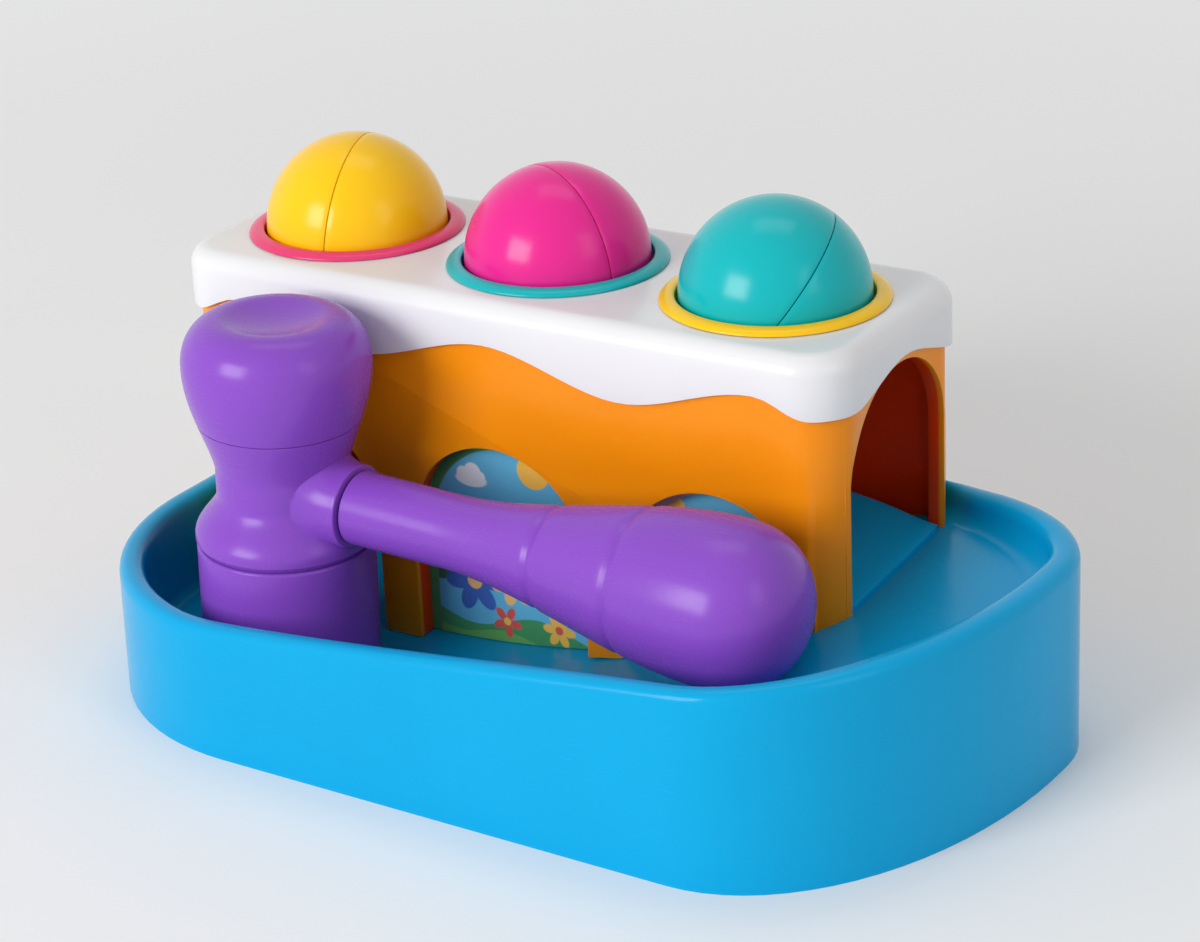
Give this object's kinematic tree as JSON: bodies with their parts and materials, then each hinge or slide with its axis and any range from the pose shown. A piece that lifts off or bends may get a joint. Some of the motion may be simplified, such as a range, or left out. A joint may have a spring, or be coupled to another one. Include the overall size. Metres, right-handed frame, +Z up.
{
  "type": "ball pounding bench",
  "caption": "Toy pounding bench: balls held in rings on a deck drop onto a ramp and roll out of an end arch into a tray; a mallet lies in its front channel.",
  "frame": {"origin": "centre of the tray's footprint, on the surface the toy stands on", "axes": "+X towards the end with the arch and the basin, +Y towards the back, +Z up"},
  "size_m": [0.3133, 0.1694, 0.1652],
  "materials": {
    "tray_blue": "glossy injection-moulded plastic",
    "body_orange": "glossy injection-moulded plastic",
    "deck_white": "glossy injection-moulded plastic",
    "ring_pink": "glossy injection-moulded plastic",
    "ring_teal": "glossy injection-moulded plastic",
    "ring_yellow": "glossy injection-moulded plastic",
    "ball_yellow": "glossy moulded plastic shell",
    "ball_magenta": "glossy moulded plastic shell",
    "ball_teal": "glossy moulded plastic shell",
    "mallet_purple": "glossy blow-moulded plastic",
    "gripper_soft": "soft elastomer",
    "clamp_white": "plain moulded plastic",
    "panel_print": "printed sheet",
    "screw_zinc": "zinc-plated steel"
  },
  "bodies": {
    "bench": {"tray_base": "tray_blue", "ball_ramp": "tray_blue", "body_shell": "body_orange", "deck_cover": "deck_white", "hole_ring_left": "ring_pink", "hole_ring_middle": "ring_teal", "hole_ring_right": "ring_yellow", "ball_gripper_left": "gripper_soft", "ball_gripper_middle": "gripper_soft", "ball_gripper_right": "gripper_soft", "gripper_clamp_left": "clamp_white", "gripper_clamp_middle": "clamp_white", "gripper_clamp_right": "clamp_white", "picture_panel_middle": "panel_print", "picture_panel_right": "panel_print", "clamp_screw_1": "screw_zinc", "clamp_screw_2": "screw_zinc", "clamp_screw_3": "screw_zinc", "clamp_screw_4": "screw_zinc", "clamp_screw_5": "screw_zinc", "clamp_screw_6": "screw_zinc", "clamp_screw_7": "screw_zinc", "clamp_screw_8": "screw_zinc", "clamp_screw_9": "screw_zinc", "clamp_screw_10": "screw_zinc", "clamp_screw_11": "screw_zinc", "clamp_screw_12": "screw_zinc", "deck_screw_1": "screw_zinc", "deck_screw_2": "screw_zinc", "deck_screw_3": "screw_zinc", "deck_screw_4": "screw_zinc", "base_screw_1": "screw_zinc", "base_screw_2": "screw_zinc", "base_screw_3": "screw_zinc", "base_screw_4": "screw_zinc", "ramp_screw_1": "screw_zinc", "ramp_screw_2": "screw_zinc", "ramp_screw_3": "screw_zinc"},
    "ball_left": {"ball_left_front_half": "ball_yellow", "ball_left_back_half": "ball_yellow"},
    "ball_middle": {"ball_middle_front_half": "ball_magenta", "ball_middle_back_half": "ball_magenta"},
    "ball_right": {"ball_right_front_half": "ball_teal", "ball_right_back_half": "ball_teal"},
    "hammer": {"hammer_head_bulb": "mallet_purple", "hammer_head_barrel": "mallet_purple", "hammer_head_cap": "mallet_purple", "hammer_handle": "mallet_purple"}
  },
  "joints": [
    {"name": "ball_left_drop", "type": "slide", "parent": "bench", "child": "ball_left", "axis": [0, 0, 1], "range_m": [-0.0385, 0.04], "deforming": ["ball_gripper_left"]},
    {"name": "ball_middle_drop", "type": "slide", "parent": "bench", "child": "ball_middle", "axis": [0, 0, 1], "range_m": [-0.0438, 0.04], "deforming": ["ball_gripper_middle"]},
    {"name": "ball_right_drop", "type": "slide", "parent": "bench", "child": "ball_right", "axis": [0, 0, 1], "range_m": [-0.0492, 0.04], "deforming": ["ball_gripper_right"]},
    {"name": "hammer_lift", "type": "slide", "parent": "bench", "child": "hammer", "axis": [0, 0, 1], "range_m": [0, 0.12]}
  ]
}
